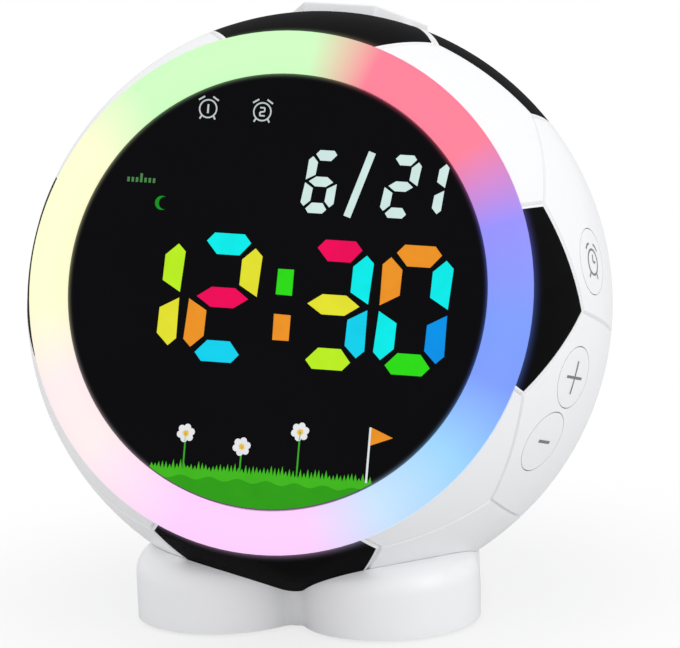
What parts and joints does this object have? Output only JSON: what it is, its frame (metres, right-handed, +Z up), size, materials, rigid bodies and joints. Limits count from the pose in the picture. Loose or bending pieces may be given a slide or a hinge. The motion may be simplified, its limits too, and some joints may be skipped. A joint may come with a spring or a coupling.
{
  "type": "alarm clock with night light",
  "caption": "Ball-shaped bedside alarm clock with football panels, a colour light ring round a dark display, push caps and a two-lobed foot.",
  "frame": {"origin": "on the resting surface, straight under the ball's centre", "axes": "+Z up; -Y towards the clock's face; +X towards the side with the alarm, plus and minus caps"},
  "size_m": [0.126, 0.1094, 0.1278],
  "materials": {
    "white_shell": "satin moulded white plastic",
    "black_panel": "gloss black inlay",
    "diffuser": "translucent milky diffuser lit from behind in soft colours",
    "lens_black": "dark smoked acrylic",
    "segment_black": "matt black light-cell block",
    "circuit_board": "green solder mask",
    "led": "clear light sources",
    "steel_screw": "zinc plated",
    "spacer": "plain brass",
    "chip": "black epoxy",
    "key_white": "satin white cap",
    "switch": "black switch body",
    "speaker_black": "black basket and magnet",
    "socket_metal": "plated steel socket",
    "cell_steel": "button cell",
    "foot_white": "satin moulded white plastic",
    "pad_rubber": "soft grey pad"
  },
  "bodies": {
    "clock": {"front_shell": "white_shell", "rear_cover": "white_shell", "right_patch": "black_panel", "left_patch": "black_panel", "upper_right_patch": "black_panel", "upper_left_patch": "black_panel", "top_patch": "black_panel", "bottom_patch": "black_panel", "rear_patch": "black_panel", "light_ring": "diffuser", "display_lens": "lens_black", "segment_housing": "segment_black", "display_board": "circuit_board", "ring_led_board": "circuit_board", "ring_leds": "led", "display_screws": "steel_screw", "board_spacers": "spacer", "main_board": "circuit_board", "main_board_screws": "steel_screw", "controller_chip": "chip", "right_switches": "switch", "left_switches": "switch", "snooze_switches": "switch", "right_board": "circuit_board", "left_board": "circuit_board", "snooze_board": "circuit_board", "right_board_screws": "steel_screw", "left_board_screws": "steel_screw", "snooze_board_screws": "steel_screw", "cover_screws": "steel_screw", "speaker": "speaker_black", "power_socket": "socket_metal", "socket_board": "circuit_board", "backup_cell": "cell_steel", "foot_base": "foot_white", "foot_screws": "steel_screw", "foot_pad": "pad_rubber"},
    "alarm_key": {"alarm_key": "key_white"},
    "plus_key": {"plus_key": "key_white"},
    "minus_key": {"minus_key": "key_white"},
    "mode_key": {"mode_key": "key_white"},
    "light_key": {"light_key": "key_white"},
    "sound_key": {"sound_key": "key_white"},
    "snooze_button": {"snooze_button": "key_white"},
    "battery_cover": {"battery_cover": "white_shell"}
  },
  "joints": [
    {"name": "alarm_key_press", "type": "slide", "parent": "clock", "child": "alarm_key", "axis": [-0.9655, 0.224, 0.1326], "range_m": [0, 0.0006], "stiffness_N_per_m": 800, "springref_m": -0.0003},
    {"name": "plus_key_press", "type": "slide", "parent": "clock", "child": "plus_key", "axis": [-0.9655, 0.224, 0.1326], "range_m": [0, 0.0006], "stiffness_N_per_m": 800, "springref_m": -0.0003},
    {"name": "minus_key_press", "type": "slide", "parent": "clock", "child": "minus_key", "axis": [-0.9655, 0.224, 0.1326], "range_m": [0, 0.0006], "stiffness_N_per_m": 800, "springref_m": -0.0003},
    {"name": "mode_key_press", "type": "slide", "parent": "clock", "child": "mode_key", "axis": [0.979, 0.1982, 0.0482], "range_m": [0, 0.0006], "stiffness_N_per_m": 800, "springref_m": -0.0003},
    {"name": "light_key_press", "type": "slide", "parent": "clock", "child": "light_key", "axis": [0.979, 0.1982, 0.0482], "range_m": [0, 0.0006], "stiffness_N_per_m": 800, "springref_m": -0.0003},
    {"name": "sound_key_press", "type": "slide", "parent": "clock", "child": "sound_key", "axis": [0.979, 0.1982, 0.0482], "range_m": [0, 0.0006], "stiffness_N_per_m": 800, "springref_m": -0.0003},
    {"name": "snooze_press", "type": "slide", "parent": "clock", "child": "snooze_button", "axis": [-0.0448, -0.4381, -0.8978], "range_m": [0, 0.001], "stiffness_N_per_m": 800, "springref_m": -0.0004},
    {"name": "battery_cover_turn", "type": "hinge", "parent": "clock", "child": "battery_cover", "pos_m": [-0.03105, 0.04679, 0.05177], "axis": [-0.5391, 0.8122, -0.2227], "range_deg": [0, 45]}
  ]
}
